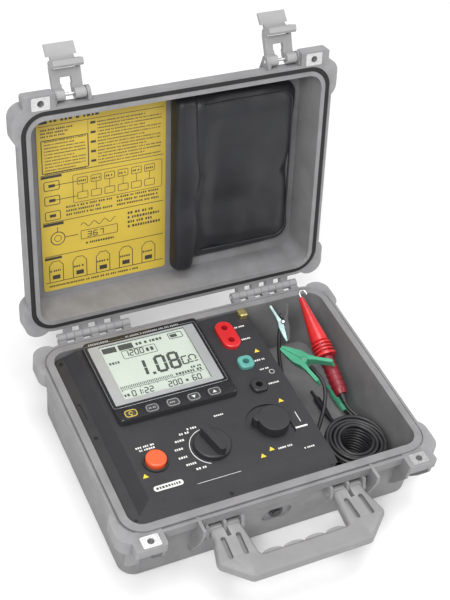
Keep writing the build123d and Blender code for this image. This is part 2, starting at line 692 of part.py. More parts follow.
with BuildPart() as latch_pins:
    for s in SIDES:
        with BuildSketch(Plane.YZ.offset(s * LATCH_X - 22.8)):
            with Locations((LATCH_Y, LATCH_Z)):
                Circle(PIN_R - 0.02)
        extrude(amount=45.6)
save(latch_pins, "latch_pins", OPEN)

# ---------------------------------------------------------------- latches, drawn hooked
LATCHED = OPEN * swung(LATCH_Y, LATCH_Z, LATCH_SWING)
LEVER_R = 2.4
for side, s in (("left", -1), ("right", 1)):
    middle = s * LATCH_X
    with BuildPart() as latch_arm:
        with BuildSketch(Plane.YZ.offset(middle - LATCH_HALF)):
            with Locations((LATCH_Y, LATCH_Z)):
                Circle(6.5)
            Polygon(
                (-157, 113), (-163, 112), (-168, 104), (-169, 76), (-164, 68), (-146.5, 68), (-146.5, 74),
                (-149, 76.5), (-161, 77), (-162, 99), (-158, 101), align=None
            )
        extrude(amount=2 * LATCH_HALF)
        # windows through the arm, between its ribs
        with BuildSketch(Plane.XZ.offset(150)):
            with Locations((middle - 1, 92)):
                RectangleRounded(14, 8, 1.5)
        extrude(amount=30, mode=Mode.SUBTRACT)
        with BuildSketch(Plane.XZ.offset(150)):
            with Locations((middle - 1, 106)):
                RectangleRounded(12, 20, 1)
        extrude(amount=30, mode=Mode.SUBTRACT)
        # room for the lever between two cheeks
        with BuildSketch(Plane.YZ.offset(middle - 14.4)):
            Polygon((-175, 60), (-160.5, 60), (-160.5, 78.5), (-175, 78.5), align=None)
        extrude(amount=28.8, mode=Mode.SUBTRACT)
        with BuildSketch(Plane.YZ.offset(middle - LATCH_HALF - 1)):
            with Locations((LATCH_Y, LATCH_Z)):
                Circle(PIN_R + RUN)
            with Locations((LEVER_Y, LEVER_Z)):
                Circle(LEVER_R + RUN)
        extrude(amount=2 * LATCH_HALF + 2, mode=Mode.SUBTRACT)
    save(latch_arm, f"latch_arm_{side}", LATCHED)

    with BuildPart() as latch_lever:
        with BuildSketch(Plane.YZ.offset(middle - 14)):
            with Locations((LEVER_Y, LEVER_Z)):
                Circle(4.4)
            Polygon(
                (LEVER_Y - 4.3, LEVER_Z), (LEVER_Y - 6.5, LEVER_Z - 8), (LEVER_Y - 3, LEVER_Z - 8),
                (LEVER_Y + 4.3, LEVER_Z), align=None
            )
        extrude(amount=28)
        with BuildSketch(Plane.YZ.offset(middle - LATCH_HALF)):
            Polygon(
                (LEVER_Y - 6.6, LEVER_Z - 7.6), (LEVER_Y - 11, LEVER_Z - 21), (LEVER_Y - 8.4, LEVER_Z - 22),
                (LEVER_Y - 3, LEVER_Z - 7.6), align=None
            )
        extrude(amount=2 * LATCH_HALF)
        with BuildSketch(Plane.YZ.offset(middle - LATCH_HALF + 0.2)):
            with Locations((LEVER_Y, LEVER_Z)):
                Circle(LEVER_R)
        extrude(amount=2 * LATCH_HALF - 0.4)
    save(latch_lever, f"latch_lever_{side}", LATCHED)

# ---------------------------------------------------------------- line probe (red), lying in the compartment
PROBE_TIP, PROBE_END = Vector(153, 120, 106), Vector(149.3, -16.5, 63.6)
PROBE_DIR = (PROBE_TIP - PROBE_END).normalized()
PROBE_LEN = (PROBE_TIP - PROBE_END).length
PROBE_SIDE = PROBE_DIR.cross(Vector(0, 0, 1)).normalized()
PROBE_PLANE = Plane(origin=PROBE_END, x_dir=PROBE_SIDE, z_dir=PROBE_SIDE.cross(PROBE_DIR))
PROBE_AXIS = Axis(PROBE_END, PROBE_DIR)
GRIP_LEN = 54.0


def turned(points):
    """A turned piece of the probe from its half profile: (radius, distance along the probe)."""
    with BuildSketch(PROBE_PLANE) as profile:
        Polygon(*points, align=None)
    revolve(profile.sketch, axis=PROBE_AXIS)


with BuildPart() as red_probe_grip:
    turned([(0, 0), (7.2, 0), (8.6, 6), (8.8, GRIP_LEN - 2), (7.5, GRIP_LEN), (0, GRIP_LEN)])
    for i in range(5):
        s = 10 + 8 * i
        turned([(0, s), (9.4, s), (9.4, s + 3.5), (0, s + 3.5)])
save(red_probe_grip, "red_probe_grip")

with BuildPart() as red_probe_body:
    s = GRIP_LEN
    turned([(0, s), (14.5, s), (14.5, s + 3), (9, s + 5), (9, s + 20), (11.5, s + 22), (11, s + 30),
            (3.2, PROBE_LEN - 1), (2.2, PROBE_LEN), (0, PROBE_LEN)])
    for i in range(3):
        turned([(0, s + 7 + 4.6 * i), (13, s + 7 + 4.6 * i), (13, s + 9.2 + 4.6 * i), (0, s + 9.2 + 4.6 * i)])
save(red_probe_body, "red_probe_body")

HOOK_R, HOOK_SHANK = 4.8, 5.0
with BuildPart() as red_probe_hook:
    with BuildLine(Plane(origin=PROBE_TIP, x_dir=PROBE_DIR, z_dir=PROBE_SIDE.cross(PROBE_DIR))):
        Line((0, 0), (HOOK_SHANK, 0))
        JernArc((HOOK_SHANK, 0), (1, 0), HOOK_R, -215)
    with BuildSketch(Plane(origin=PROBE_TIP, z_dir=PROBE_DIR)):
        Circle(1.2)
    sweep()
save(red_probe_hook, "red_probe_hook")

# ---------------------------------------------------------------- crocodile clips
GREEN_CLIP = Plane(origin=(121, 37, 79), x_dir=(-0.367, 0.9, -0.237), z_dir=(-0.45, 0, 0.89))
GREEN_SIZE, BLACK_SIZE = 0.9, 0.65
BLACK_CLIP = Plane(origin=(120, 101, 88), x_dir=(-0.15, -0.92, -0.36), z_dir=(-0.25, -0.33, 0.91))
CLIP_W, EAR_W, EAR_R = 6.5, 3.5, 5.0


def clip_half(frame, side, size, fixed):
    """One jaw with its handle; the fixed one has the outer ears and the other the inner lug."""
    with BuildPart() as half:
        with BuildSketch(frame.offset(-CLIP_W * size)):
            with BuildLine():
                Polyline(
                    *[
                        (x * size, side * y * size)
                        for x, y in (
                            (42, 0.3), (41, 3.4), (30, 6.4), (12, 10.5), (-2, 10), (-14, 12.5), (-36, 20),
                            (-39, 18.5), (-38, 15.5), (-14, 7.5), (-9, 5), (-4.5, 2.6), (0, 0.3),
                            (42, 0.3),
                        )
                    ]
                )
            make_face()
        extrude(amount=2 * CLIP_W * size)
        # channel down the inside of the jaw
        with BuildSketch(frame.offset(-(CLIP_W - 2) * size)):
            Polygon(
                *[(x * size, side * y * size) for x, y in ((9, 0), (32, 0), (30, 4), (13, 7.5), (9, 7.5))],
                align=None
            )
        extrude(amount=2 * (CLIP_W - 2) * size, mode=Mode.SUBTRACT)
        with BuildSketch(frame.offset(-(CLIP_W + 1) * size)):
            Circle((EAR_R + 0.4) * size)
        extrude(amount=2 * (CLIP_W + 1) * size, mode=Mode.SUBTRACT)
        layers = ((-CLIP_W, -EAR_W - 0.4), (EAR_W + 0.4, CLIP_W)) if fixed else ((-EAR_W, EAR_W),)
        for low, high in layers:
            with BuildSketch(frame.offset(low * size)):
                Circle(EAR_R * size)
                Polygon(
                    (-4 * size, 0), (4 * size, 0), (5 * size, side * 8 * size), (-4 * size, side * 8 * size),
                    align=None
                )
            extrude(amount=(high - low) * size)
        with BuildSketch(frame.offset(-20 * size)):
            Circle(1.5 + RUN)
        extrude(amount=40 * size, mode=Mode.SUBTRACT)
    return half


save(clip_half(GREEN_CLIP, 1, GREEN_SIZE, True), "green_clip_body")
save(clip_half(GREEN_CLIP, -1, GREEN_SIZE, False), "green_clip_jaw")
save(clip_half(BLACK_CLIP, 1, BLACK_SIZE, True), "black_clip_body")
save(clip_half(BLACK_CLIP, -1, BLACK_SIZE, False), "black_clip_jaw")

with BuildPart() as clip_pins:
    for frame, size in ((GREEN_CLIP, GREEN_SIZE), (BLACK_CLIP, BLACK_SIZE)):
        with BuildSketch(frame.offset(-CLIP_W * size)):
            Circle(1.5)
        extrude(amount=2 * CLIP_W * size)
save(clip_pins, "clip_pins")

# ---------------------------------------------------------------- test leads
COIL_XY, COIL_R, COIL_HOLE, COIL_H = (131.0, -88.0), 40.0, 20.0, 20.0
LEADS = {
    "black": {
        "coil_z": 4.4,
        "relief": [(123.5, 110.6, 91.2), (128.1, 119.0, 82.2)],
        "relief_r": (2.9, 2.7),
        "in": [
            (128.1, 119, 82.2), (132, 125.5, 75), (132.5, 124.5, 59), (126, 110, 44), (118, 90, 33),
            (114, 70, 22), (112, 46, 13), (111, 17, 9.5),
            (104, -12, 9.5), (93, -38, 11), (88, -66, 13), (92, -92, 14), (97, -108, 14.4),
        ],
        "out": [(160, -104, 14), (165, -84, 12), (160, -58, 9), (152, -33, 8.5), (147, -8, 9)],
        "plug": [(147, -8, 9), (145.5, 40, 9)],
    },
    "green": {
        "coil_z": 24.6,
        "relief": [(123.3, 25.5, 80.7), (124.3, 13.2, 81.9)],
        "relief_r": (2.9, 2.7),
        "in": [
            (124.3, 13.2, 81.9), (127, 4, 81.5), (128.5, -9, 73), (121, -25, 58), (108, -40, 46),
            (96, -54, 39),
            (88.5, -73, 35), (91, -95, 34.6), (97, -108, 34.6),
        ],
        "out": [(163, -106, 34.6), (170, -84, 33), (172, -57, 26), (171, -30, 16), (172, -5, 10)],
        "plug": [(172, -5, 10), (171, 43, 8.6)],
    },
    "red": {
        "coil_z": 44.8,
        "relief": [(149.3, -16.5, 63.6), (149.0, -28.0, 60.0)],
        "relief_r": (4.4, 3.2),
        "in": [
            (149, -28, 60), (150, -38, 57.2), (157, -52, 55), (168, -66, 54.5), (173, -85, 54.5),
            (166, -105, 54.8),
        ],
        "out": [(96, -108, 54.8), (90, -84, 53), (88, -57, 46), (89, -31, 34), (92, -6, 21), (92, 20, 12)],
        "plug": [(92, 20, 12), (92, 68, 9)],
    },
}


def bends(points):
    """The radius of the arc at each corner: as large as the two runs beside it allow."""
    radii = []
    for a, b, c in zip(points, points[1:], points[2:]):
        before, after = Vector(b) - Vector(a), Vector(c) - Vector(b)
        turn = radians(before.get_angle(after))
        radii.append(0.45 * min(before.length, after.length) / tan(turn / 2))
    return radii


def tube(points, label):
    """Adds a lead's tube along straight runs joined by tangent arcs."""
    radii = bends(points)
    with BuildLine() as route:
        path = FilletPolyline(*points, radius=radii)
    with BuildSketch(Plane(origin=path @ 0, z_dir=path % 0)) as section:
        Circle(LEAD_D / 2)
    sweep(section.sketch, path=route.line)
    print(label, "length", round(path.length, 1), "smallest radius", round(min(radii), 1))


def cone(ends, start_r, end_r):
    """Adds a tapered round piece between two points."""
    start, end = Vector(ends[0]), Vector(ends[1])
    axis = (end - start).normalized()
    with BuildSketch(Plane(origin=start, z_dir=axis)) as wide:
        Circle(start_r)
    with BuildSketch(Plane(origin=end, z_dir=axis)) as narrow:
        Circle(end_r)
    loft([wide.sketch, narrow.sketch])


for colour, lead in LEADS.items():
    with BuildPart() as lead_tube:
        tube(lead["in"], f"{colour} in")
        tube(lead["out"], f"{colour} out")
    save(lead_tube, f"lead_{colour}_tube")

    with BuildPart() as lead_coil:
        with BuildSketch(Plane.XY.offset(lead["coil_z"])):
            with Locations(COIL_XY):
                Circle(COIL_R)
                Circle(COIL_HOLE, mode=Mode.SUBTRACT)
        extrude(amount=COIL_H)
    save(lead_coil, f"lead_{colour}_coil")

    start, end = Vector(lead["plug"][0]), Vector(lead["plug"][1])
    plug_axis = (end - start).normalized()
    with BuildPart() as lead_plug:
        cone((start, start + plug_axis * 12), 3.0, 4.2)
        cone((start + plug_axis * 12, start + plug_axis * 34), 4.5, 4.5)
        cone((start + plug_axis * 34, end), 2.0, 2.0)
    save(lead_plug, f"lead_{colour}_plug")

with BuildPart() as strain_reliefs:
    for lead in LEADS.values():
        cone(lead["relief"], *lead["relief_r"])
save(strain_reliefs, "strain_reliefs")
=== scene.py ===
"""Looks, camera and light for the insulation resistance tester in its open carrying case."""
import json
from math import cos, exp, pi, radians, sin
from random import Random

import bmesh
import bpy
from mathutils import Matrix, Vector, noise
from mathutils.bvhtree import BVHTree


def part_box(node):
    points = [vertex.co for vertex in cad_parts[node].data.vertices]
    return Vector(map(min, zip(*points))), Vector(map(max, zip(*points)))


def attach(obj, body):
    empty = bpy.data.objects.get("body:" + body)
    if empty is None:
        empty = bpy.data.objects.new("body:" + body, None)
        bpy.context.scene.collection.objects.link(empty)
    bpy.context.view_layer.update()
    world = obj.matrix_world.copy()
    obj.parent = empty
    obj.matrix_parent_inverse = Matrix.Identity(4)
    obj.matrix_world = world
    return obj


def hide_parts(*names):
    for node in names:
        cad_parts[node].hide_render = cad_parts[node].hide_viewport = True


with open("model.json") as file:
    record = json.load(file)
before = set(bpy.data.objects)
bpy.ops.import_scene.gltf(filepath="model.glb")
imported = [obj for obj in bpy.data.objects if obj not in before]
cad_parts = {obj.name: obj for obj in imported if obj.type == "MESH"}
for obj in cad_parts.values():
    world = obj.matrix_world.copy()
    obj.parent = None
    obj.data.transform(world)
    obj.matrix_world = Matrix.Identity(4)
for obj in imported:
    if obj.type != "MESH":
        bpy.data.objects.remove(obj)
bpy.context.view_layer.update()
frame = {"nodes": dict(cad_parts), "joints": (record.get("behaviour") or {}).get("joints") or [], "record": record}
NODES = frame["nodes"]
MM = 0.001

# Heights of the flat faces that carry printing, from the frame
PANEL_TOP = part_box("button_collar")[0][2]
BEZEL_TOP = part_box("display_bezel")[1][2]
SCREEN_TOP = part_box("lcd_module")[1][2]
KEY_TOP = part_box("key_1")[1][2]

LID = next(j for j in frame["joints"] if j["name"] == "lid_hinge")
HINGE = Vector(LID["pos_m"])
LID_ANGLE = radians(LID["range_deg"][1])
OPEN = Matrix.Translation(HINGE) @ Matrix.Rotation(-LID_ANGLE, 4, "X") @ Matrix.Translation(-HINGE)
LABEL_FACE = 138.4  # the label's face in the shut lid, in mm above the case's foot


def mm(x, y, z):
    """A point given in millimetres."""
    return Vector((x, y, z)) * MM


# ---------------------------------------------------------------- camera
camera_data = bpy.data.cameras.new("camera")
camera_data.lens = 76.44
camera_data.sensor_width = 36.0
camera = bpy.data.objects.new("camera", camera_data)
camera.location = (-0.5661, -0.8636, 1.2523)
camera.rotation_euler = (radians(45.564), radians(-6.964), radians(-24.798))
bpy.context.collection.objects.link(camera)
bpy.context.scene.camera = camera


# ---------------------------------------------------------------- materials
def ramp(nodes, stops):
    """A colour ramp node with the given (place, colour) stops."""
    node = nodes.new("ShaderNodeValToRGB")
    for i, (place, colour) in enumerate(stops):
        stop = node.color_ramp.elements[i] if i < 2 else node.color_ramp.elements.new(place)
        stop.position = place
        stop.color = (*colour, 1.0)
    return node


def shade(colour, factor):
    """A lighter or darker tone of a colour."""
    return tuple(min(1.0, c * factor) for c in colour)


def material(name, colour, rough=0.5, metallic=0.0, tone=0.12, tone_scale=35.0, grain=1400.0,
             bump=0.12, wear=0.0, coat=0.0, alpha=1.0, cells=False):
    """Moulded plastic, rubber, metal or vinyl: drifting tone, uneven gloss, a grain and worn edges."""
    made = bpy.data.materials.new(name)
    made.use_nodes = True
    nodes, links = made.node_tree.nodes, made.node_tree.links
    shader = nodes["Principled BSDF"]
    shader.inputs["Metallic"].default_value = metallic
    shader.inputs["Coat Weight"].default_value = coat
    shader.inputs["Coat Roughness"].default_value = 0.08
    shader.inputs["Alpha"].default_value = alpha
    place = nodes.new("ShaderNodeTexCoord")
    drift = nodes.new("ShaderNodeTexNoise")
    drift.inputs["Scale"].default_value = tone_scale
    drift.inputs["Detail"].default_value = 6.0
    links.new(place.outputs["Object"], drift.inputs["Vector"])
    tones = ramp(nodes, [(0.3, shade(colour, 1 - tone)), (0.7, shade(colour, 1 + tone))])
    links.new(drift.outputs["Fac"], tones.inputs["Fac"])
    surface = tones.outputs["Color"]
    if wear:
        geometry = nodes.new("ShaderNodeNewGeometry")
        edges = ramp(nodes, [(0.53, (0, 0, 0)), (0.62, (1, 1, 1))])
        links.new(geometry.outputs["Pointiness"], edges.inputs["Fac"])
        amount = nodes.new("ShaderNodeMath")
        amount.operation = "MULTIPLY"
        amount.inputs[1].default_value = wear
        links.new(edges.outputs["Color"], amount.inputs[0])
        mix = nodes.new("ShaderNodeMix")
        mix.data_type = "RGBA"
        mix.inputs["B"].default_value = (*shade(colour, 1.7), 1.0)
        links.new(amount.outputs["Value"], mix.inputs["Factor"])
        links.new(surface, mix.inputs["A"])
        surface = mix.outputs["Result"]
    links.new(surface, shader.inputs["Base Color"])
    gloss = nodes.new("ShaderNodeMapRange")
    gloss.inputs["To Min"].default_value = max(0.02, rough - 0.07)
    gloss.inputs["To Max"].default_value = min(1.0, rough + 0.09)
    smear = nodes.new("ShaderNodeTexNoise")
    smear.inputs["Scale"].default_value = tone_scale * 2.7
    links.new(place.outputs["Object"], smear.inputs["Vector"])
    links.new(smear.outputs["Fac"], gloss.inputs["Value"])
    links.new(gloss.outputs["Result"], shader.inputs["Roughness"])
    texture = nodes.new("ShaderNodeTexVoronoi" if cells else "ShaderNodeTexNoise")
    texture.inputs["Scale"].default_value = grain
    links.new(place.outputs["Object"], texture.inputs["Vector"])
    relief = nodes.new("ShaderNodeBump")
    relief.inputs["Strength"].default_value = bump
    relief.inputs["Distance"].default_value = 0.0004
    links.new(texture.outputs["Distance" if cells else "Fac"], relief.inputs["Height"])
    links.new(relief.outputs["Normal"], shader.inputs["Normal"])
    return made


PAINTS = {
    "case_grey": material("case_grey", (0.205, 0.202, 0.207), 0.55,
                          tone=0.12, grain=1100, bump=0.3, wear=0.35),
    "handle_grey": material("handle_grey", (0.225, 0.221, 0.222), 0.5,
                            tone=0.07, grain=1100, bump=0.25, wear=0.4),
    "steel": material("steel", (0.72, 0.72, 0.72), 0.28, 1.0, tone=0.06, tone_scale=220, bump=0.08),
    "panel_charcoal": material("panel_charcoal", (0.021, 0.0205, 0.0235), 0.5,
                               tone=0.14, grain=1600, bump=0.3),
    "housing_black": material("housing_black", (0.016, 0.016, 0.018), 0.55, grain=1200, bump=0.25),
    "bezel_black": material("bezel_black", (0.016, 0.016, 0.018), 0.16, tone=0.06, coat=0.4, bump=0.02),
    "frame_silver": material("frame_silver", (0.38, 0.39, 0.40), 0.38, 0.3, tone=0.05, bump=0.1),
    "screen_glass": material("screen_glass", (0.55, 0.62, 0.58), 0.06, tone=0.03, alpha=0.08, bump=0.0),
    "screen_green": material("screen_green", (0.50, 0.56, 0.50), 0.4, tone=0.05, tone_scale=14, bump=0.03),
    "key_rubber": material("key_rubber", (0.035, 0.035, 0.037), 0.6, bump=0.2, grain=1500),
    "red_plastic": material("red_plastic", (0.55, 0.018, 0.022), 0.3, tone=0.15, coat=0.25, bump=0.06),
    "dark_red_plastic": material("dark_red_plastic", (0.22, 0.012, 0.022), 0.35, tone=0.18, bump=0.1),
    "green_plastic": material("green_plastic", (0.07, 0.36, 0.21), 0.35, tone=0.15, coat=0.15, bump=0.08),
    "teal_plastic": material("teal_plastic", (0.10, 0.33, 0.30), 0.38, tone=0.12, bump=0.08),
    "black_plastic": material("black_plastic", (0.022, 0.022, 0.025), 0.4, tone=0.2, bump=0.15, wear=0.2),
    "button_orange": material("button_orange", (0.78, 0.10, 0.025), 0.3, tone=0.08, coat=0.25, bump=0.05),
    "brass": material("brass", (0.62, 0.52, 0.22), 0.35, 0.9, tone=0.15, tone_scale=300, bump=0.1),
    "gasket_rubber": material("gasket_rubber", (0.012, 0.012, 0.013), 0.75, bump=0.2),
    "label_yellow": material("label_yellow", (0.55, 0.40, 0.05), 0.42, tone=0.1, tone_scale=12, bump=0.04),
    "pouch_vinyl": material("pouch_vinyl", (0.011, 0.0115, 0.015), 0.42, tone=0.25, tone_scale=22, grain=700,
                            bump=0.35, cells=True),
    "board_green": material("board_green", (0.03, 0.18, 0.07), 0.35, tone_scale=120),
    "battery_wrap": material("battery_wrap", (0.05, 0.05, 0.2), 0.3, tone_scale=90),
    "lead_rubber": material("lead_rubber", (0.016, 0.016, 0.018), 0.42, tone=0.25, tone_scale=60, bump=0.12),
    "ink_white": material("ink_white", (0.68, 0.68, 0.66), 0.55, tone=0.05, bump=0.05),
    "ink_dim": material("ink_dim", (0.30, 0.31, 0.32), 0.55, tone=0.08, bump=0.05),
    "ink_dark": material("ink_dark", (0.035, 0.033, 0.03), 0.55, tone=0.2, bump=0.05),
    "ink_yellow": material("ink_yellow", (0.75, 0.55, 0.04), 0.5, tone=0.06, bump=0.05),
    "segment_black": material("segment_black", (0.012, 0.014, 0.013), 0.5, tone=0.1, bump=0.02),
    "screw_black": material("screw_black", (0.05, 0.05, 0.055), 0.35, 0.8, tone=0.1, bump=0.1),
    "clip_teal": material("clip_teal", (0.30, 0.42, 0.42), 0.4, 0.3, tone=0.3, tone_scale=160, bump=0.15),
}
REPAINTED = {
    "terminal_green": "teal_plastic",
    "panel_screws": "screw_black",
    "black_clip_jaw": "clip_teal",
}
for part in frame["record"]["subparts"]:
    paint = PAINTS[REPAINTED.get(part["node"], part["material_slot"])]
    data = NODES[part["node"]].data
    data.materials.clear()
    data.materials.append(paint)


def finish_piece(obj, paint, body):
    """Gives a new piece its material and the body it moves with."""
    obj.data.materials.append(PAINTS[paint])
    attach(obj, body)
    return obj


# ---------------------------------------------------------------- test leads
LEAD_D = 0.005
COIL_X, COIL_Y = 131.0, -88.0
COIL_RADII = (37.5, 32.5, 27.5, 22.5)
POINTS_PER_TURN = 16
LEADS = {
    "black": {
        "coil_z": 4.4, "start": 215, "way": 1, "length": 3.22,
        "in": [(128.1, 119, 82.2), (132, 125.5, 75), (132.5, 124.5, 59), (126, 110, 44), (118, 90, 33),
               (114, 70, 22), (112, 46, 13), (111, 17, 9.5), (104, -12, 9.5), (93, -38, 11),
               (88, -66, 14), (91, -92, 16)],
        "out": [(165, -84, 12), (160, -58, 9), (152, -33, 8.5), (147, -8, 9)],
    },
    "green": {
        "coil_z": 24.6, "start": 215, "way": 1, "length": 3.10,
        "in": [(124.3, 13.2, 81.9), (127, 4, 81.5), (128.5, -9, 73), (121, -25, 58), (108, -40, 46),
               (96, -54, 39), (88.5, -73, 36), (90.5, -93, 36.4)],
        "out": [(170, -84, 33), (172, -57, 26), (171, -30, 16), (172, -5, 10)],
    },
    "red": {
        "coil_z": 44.8, "start": -35, "way": -1, "length": 3.07,
        "in": [(149, -28, 60), (150, -38, 57.2), (157, -52, 56), (168, -66, 56), (173, -85, 57)],
        "out": [(90, -84, 53), (88, -57, 46), (89, -31, 34), (92, -6, 21), (92, 20, 12)],
    },
}


def smooth(t):
    """Eases from 0 to 1."""
    t = max(0.0, min(1.0, t))
    return t * t * (3 - 2 * t)


def coil(z0, start, way, loose):
    """Turns laid in four rings and four layers: the two upper layers, then the two lower ones."""
    heights = [z0 + 2.5 + 5.0 * level for level in range(4)]
    rings = [(r, heights[2]) for r in COIL_RADII] + [(r, heights[3]) for r in reversed(COIL_RADII)]
    rings += [(r, heights[0]) for r in COIL_RADII] + [(r, heights[1]) for r in reversed(COIL_RADII)]
    wander = Random(7)
    points = []
    for i, (radius, height) in enumerate(rings):
        last = i == len(rings) - 1
        after = rings[i] if last else rings[i + 1]
        lean, rise = wander.uniform(0, 2 * pi), wander.uniform(0.3, 1.0) * loose
        for k in range(POINTS_PER_TURN):
            f = k / POINTS_PER_TURN
            if last and f > 0.3:
                break
            turning = smooth((f - 0.8) / 0.2)
            r = radius + (after[0] - radius) * turning if i != 7 else radius
            z = height + (after[1] - height) * turning if i != 7 else height
            if i == 8 and f < 0.35:
                z = heights[3] + (heights[0] - heights[3]) * smooth(f / 0.35)
                r = radius + 5.5 * sin(pi * f / 0.35)
            angle = radians(start + way * 360 * f)
            if 4 <= i < 8:
                z += rise * (0.5 + 0.5 * sin(angle + lean)) * sin(pi * f)
                r += 0.25 * rise * sin(2 * angle + lean)
            points.append((COIL_X + r * cos(angle), COIL_Y + r * sin(angle), z))
    return points


for colour, lead in LEADS.items():
    curve = bpy.data.curves.new(f"lead_{colour}", "CURVE")
    curve.dimensions = "3D"
    curve.bevel_depth = LEAD_D / 2
    curve.bevel_resolution = 4
    curve.resolution_u = 6
    curve.use_fill_caps = True
    turns = coil(lead["coil_z"], lead["start"], lead["way"], 4.0 if colour == "red" else 0.0)
    route = lead["in"] + turns + lead["out"]
    spline = curve.splines.new("NURBS")
    spline.points.add(len(route) - 1)
    for point, place in zip(spline.points, route):
        point.co = (*mm(*place), 1.0)
    spline.order_u = 3
    spline.use_endpoint_u = True
    cable = bpy.data.objects.new(f"lead_{colour}", curve)
    bpy.context.collection.objects.link(cable)
    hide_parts(f"lead_{colour}_tube", f"lead_{colour}_coil")
    finish_piece(cable, "lead_rubber", "case")


# ---------------------------------------------------------------- printing and other thin flat pieces
def rect(x0, y0, x1, y1):
    """A rectangle's outline."""
    return [(x0, y0), (x1, y0), (x1, y1), (x0, y1)]


def arc(x, y, r, start, end, steps=24):
    """Points along an arc, angles in degrees."""
    turns = [radians(start + (end - start) * i / steps) for i in range(steps + 1)]
    return [(x + r * cos(a), y + r * sin(a)) for a in turns]


def rounded(x, y, width, height, r):
    """A rounded rectangle's outline about its centre."""
    corners = ((1, 1, 0), (-1, 1, 90), (-1, -1, 180), (1, -1, 270))
    points = []
    for sx, sy, start in corners:
        points += arc(x + sx * (width / 2 - r), y + sy * (height / 2 - r), r, start, start + 90, 5)
    return points


def stroke(points, width, closed=False):
    """The quads of a line of that width through the points, mitred at its corners."""
    count = len(points)
    sides = []
    for i in range(count):
        before = points[i - 1] if closed or i else points[i]
        after = points[(i + 1) % count] if closed or i < count - 1 else points[i]
        along = Vector((after[0] - before[0], after[1] - before[1])).normalized()
        across = Vector((-along.y, along.x)) * width / 2
        middle = Vector(points[i])
        sides.append((middle + across, middle - across))
    spans = range(count if closed else count - 1)
    return [
        [sides[i][0], sides[(i + 1) % count][0], sides[(i + 1) % count][1], sides[i][1]] for i in spans
    ]


def words(x, y, length, height, seed, gap=0.35):
    """A line of print too small to read: short bars with gaps between them."""
    chance = Random(seed)
    bars = []
    place = x
    while place < x + length - height * 0.6:
        width = min(height * chance.uniform(0.5, 0.9), x + length - place)
        bars.append(rect(place, y, place + width, y + height))
        place += width + height * (gap if chance.random() < 0.8 else gap + 0.6)
    return bars


SEGMENTS = {
    "0": "abcdef", "1": "bc", "2": "abged", "3": "abgcd", "4": "fgbc", "5": "afgcd", "6": "afgedc",
    "7": "abc", "8": "abcdefg", "9": "abcdfg", "G": "afedc", "-": "g",
}


def digit(character, x, y, width, height, thick):
    """A seven-segment digit with its lower left corner at (x, y), leaning a little."""
    places = {
        "a": ((0, 1), (1, 1)), "b": ((1, 1), (1, 0.5)), "c": ((1, 0.5), (1, 0)), "d": ((0, 0), (1, 0)),
        "e": ((0, 0.5), (0, 0)), "f": ((0, 1), (0, 0.5)), "g": ((0, 0.5), (1, 0.5)),
    }
    shapes = []
    for letter in SEGMENTS[character]:
        ends = [
            Vector((x + u * width + v * height * 0.09, y + v * height)) for u, v in places[letter]
        ]
        inset = (ends[1] - ends[0]).normalized() * thick * 0.12
        shapes += stroke([ends[0] + inset, ends[1] - inset], thick)
    return shapes


def number(text, x, y, width, height, thick, pitch):
    """A row of seven-segment digits; a point or a colon takes a narrow place."""
    shapes = []
    for character in text:
        if character in ".:":
            low = (0.0,) if character == "." else (0.25, 0.65)
            for level in low:
                at = y + level * height
                shapes.append(rect(x, at - thick / 2, x + thick, at + thick / 2))
            x += thick * 2.2
        else:
            shapes += digit(character, x, y, width, height, thick)
            x += pitch
    return shapes


def inlay(name, shapes, place, paint, body, thickness=0.12):
    """Thin flat shapes, in mm, standing on the face whose frame is place."""
    mesh = bpy.data.meshes.new(name)
    build = bmesh.new()
    for shape in shapes:
        low = [build.verts.new(place @ mm(p[0], p[1], 0.02)) for p in shape]
        high = [build.verts.new(place @ mm(p[0], p[1], thickness)) for p in shape]
        build.faces.new(high)
        build.faces.new(list(reversed(low)))
        for i in range(len(shape)):
            j = (i + 1) % len(shape)
            build.faces.new((low[i], low[j], high[j], high[i]))
    bmesh.ops.recalc_face_normals(build, faces=build.faces)
    build.to_mesh(mesh)
    build.free()
    piece = bpy.data.objects.new(name, mesh)
    bpy.context.collection.objects.link(piece)
    return finish_piece(piece, paint, body)


def level(height):
    """The frame of a level face at that height in metres."""
    return Matrix.Translation((0, 0, height))


ON_PANEL, ON_BEZEL, ON_SCREEN, ON_KEYS = (level(z) for z in (PANEL_TOP, BEZEL_TOP, SCREEN_TOP, KEY_TOP))
# the shut lid's inner face looks down; on the open lid its -Y is up
ON_LABEL = OPEN @ Matrix.Translation(mm(0, 0, LABEL_FACE)) @ Matrix.Rotation(pi, 4, "X")

# ---------------------------------------------------------------- liquid-crystal display
screen = [rect(-132.5, 28.5, -15, 120)]
inlay("screen_ground", screen, ON_SCREEN, "screen_green", "case", 0.1)
SCREEN_INK = level(SCREEN_TOP + 0.1 * MM)
figures = number("1.08", -99, 60, 11.0, 24, 3.9, 17.5)
figures += number("1200", -103, 95.5, 4.2, 8.5, 1.4, 6.6)
figures += number("01:22", -118, 33.5, 4.2, 8.0, 1.4, 6.6)
figures += number("200", -71, 33.5, 4.2, 8.0, 1.4, 6.6)
figures += number("60", -39, 33.5, 4.2, 8.0, 1.4, 6.6)
inlay("screen_figures", figures, SCREEN_INK, "segment_black", "case")

